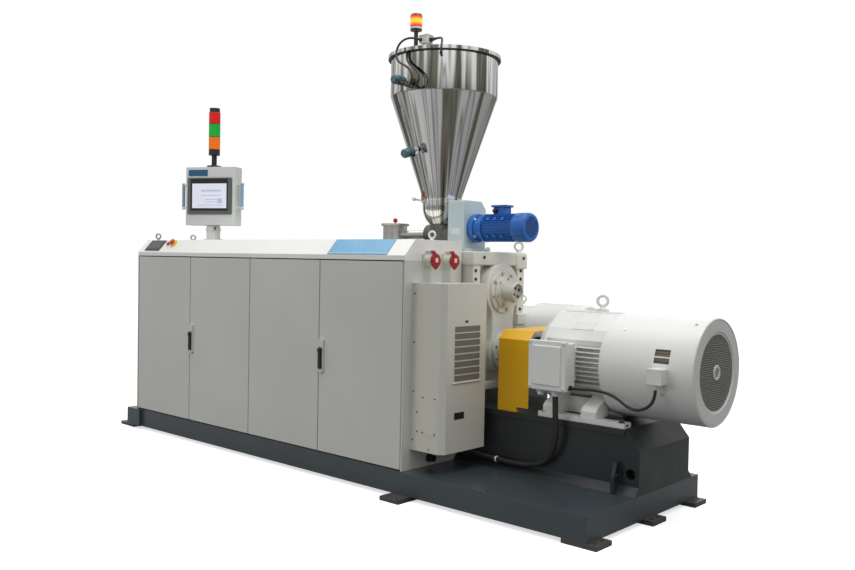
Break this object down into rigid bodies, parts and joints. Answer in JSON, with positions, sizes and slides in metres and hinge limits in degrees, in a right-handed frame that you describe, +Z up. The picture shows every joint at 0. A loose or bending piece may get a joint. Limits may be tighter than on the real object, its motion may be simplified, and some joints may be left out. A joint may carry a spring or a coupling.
{
  "type": "plastic extruder line with control cabinet",
  "caption": "Extruder line for plastic pellets: drive motor, gearbox, screw barrel, hopper with feeder and a long control cabinet with swivelling operator panel.",
  "frame": {"origin": "on the floor under the middle of the whole line", "axes": "+X along the screw towards the drive motor, +Y from the cabinet doors to the rear, +Z up"},
  "size_m": [4.175, 1.526, 2.641],
  "materials": {
    "base_paint": "gloss",
    "floor_steel": "satin",
    "cabinet_paint": "satin",
    "cover_paint": "satin",
    "plate_blue": "gloss",
    "screen_dark": "gloss",
    "button_red": "gloss",
    "handle_grey": "satin",
    "lever_black": "matte",
    "eye_steel": "zinc plated",
    "socket_grey": "matte",
    "lid_red": "gloss",
    "cooler_paint": "satin",
    "panel_paint": "satin",
    "bezel_grey": "satin",
    "grip_blue": "satin",
    "tower_plastic": "gloss",
    "hopper_steel": "polished",
    "sensor_teal": "satin",
    "beacon_red": "gloss",
    "box_grey": "matte",
    "feeder_steel": "satin",
    "drive_paint": "satin",
    "feeder_motor_blue": "gloss",
    "barrel_steel": "satin",
    "gearbox_paint": "satin",
    "guard_yellow": "satin",
    "shaft_steel": "satin",
    "motor_paint": "satin",
    "cable_black": "matte"
  },
  "bodies": {
    "line": {"base_frame": "base_paint", "foot_plates": "floor_steel", "motor_box": "base_paint", "drive_seats": "base_paint", "cabinet_floor": "cabinet_paint", "cabinet_back": "cabinet_paint", "cabinet_side_walls": "cabinet_paint", "cabinet_top": "cover_paint", "cabinet_mullion": "cabinet_paint", "control_plate": "plate_blue", "display_screen": "screen_dark", "push_buttons": "button_red", "eye_bolts": "eye_steel", "wall_fittings": "socket_grey", "air_conditioner": "cooler_paint", "panel_post": "panel_paint", "hopper_shell": "hopper_steel", "hopper_lid": "hopper_steel", "hopper_outlet": "hopper_steel", "level_sensors": "sensor_teal", "beacon": "beacon_red", "junction_box": "box_grey", "feeder_housing": "feeder_steel", "feeder_drive_cover": "drive_paint", "feeder_motor": "feeder_motor_blue", "barrel": "barrel_steel", "barrel_supports": "base_paint", "gearbox_case": "gearbox_paint", "gearbox_cover": "gearbox_paint", "coupling_guard": "guard_yellow", "coupling": "shaft_steel", "motor_body": "motor_paint", "fan_cowl": "motor_paint", "terminal_boxes": "motor_paint", "rear_motor": "motor_paint", "rear_pedestal": "base_paint", "rear_guard": "gearbox_paint", "motor_cable": "cable_black", "fan_lead": "cable_black", "beacon_lead": "cable_black", "box_lead": "cable_black", "wall_lead": "cable_black"},
    "door_1": {"door_1": "cabinet_paint"},
    "door_2": {"door_2": "cabinet_paint", "handle_dish_1": "handle_grey"},
    "door_3": {"door_3": "cabinet_paint"},
    "door_4": {"door_4": "cabinet_paint", "handle_dish_2": "handle_grey"},
    "lever_1": {"handle_lever_1": "lever_black"},
    "lever_2": {"handle_lever_2": "lever_black"},
    "operator_panel": {"panel_box": "panel_paint", "panel_screen": "bezel_grey", "panel_grips": "grip_blue", "tower_light": "tower_plastic"},
    "lid_1": {"socket_lid_1": "lid_red"},
    "lid_2": {"socket_lid_2": "lid_red"}
  },
  "joints": [
    {"name": "door_1_hinge", "type": "hinge", "parent": "line", "child": "door_1", "pos_m": [-1.8565, -0.676, 0.685], "axis": [0, 0, -1], "range_deg": [0, 110]},
    {"name": "door_2_hinge", "type": "hinge", "parent": "line", "child": "door_2", "pos_m": [-0.5735, -0.676, 0.685], "axis": [0, 0, 1], "range_deg": [0, 85]},
    {"name": "door_3_hinge", "type": "hinge", "parent": "line", "child": "door_3", "pos_m": [-0.5675, -0.676, 0.685], "axis": [0, 0, -1], "range_deg": [0, 85]},
    {"name": "door_4_hinge", "type": "hinge", "parent": "line", "child": "door_4", "pos_m": [0.7155, -0.676, 0.685], "axis": [0, 0, 1], "range_deg": [0, 110]},
    {"name": "lever_1_hinge", "type": "hinge", "parent": "door_2", "child": "lever_1", "pos_m": [-1.185, -0.694, 0.724], "axis": [-1, 0, 0], "range_deg": [0, 40]},
    {"name": "lever_2_hinge", "type": "hinge", "parent": "door_4", "child": "lever_2", "pos_m": [0.104, -0.694, 0.724], "axis": [-1, 0, 0], "range_deg": [0, 40]},
    {"name": "panel_swivel", "type": "hinge", "parent": "line", "child": "operator_panel", "pos_m": [-1.2885, -0.451, 1.438], "axis": [0, 0, 1], "range_deg": [-116, 64]},
    {"name": "lid_1_hinge", "type": "hinge", "parent": "line", "child": "lid_1", "pos_m": [0.7955, -0.51, 1.278], "axis": [0, -1, 0], "range_deg": [0, 110], "stiffness_Nm_per_rad": 0.1, "springref_deg": -34.38},
    {"name": "lid_2_hinge", "type": "hinge", "parent": "line", "child": "lid_2", "pos_m": [0.7955, -0.358, 1.278], "axis": [0, -1, 0], "range_deg": [0, 110], "stiffness_Nm_per_rad": 0.1, "springref_deg": -34.38}
  ]
}
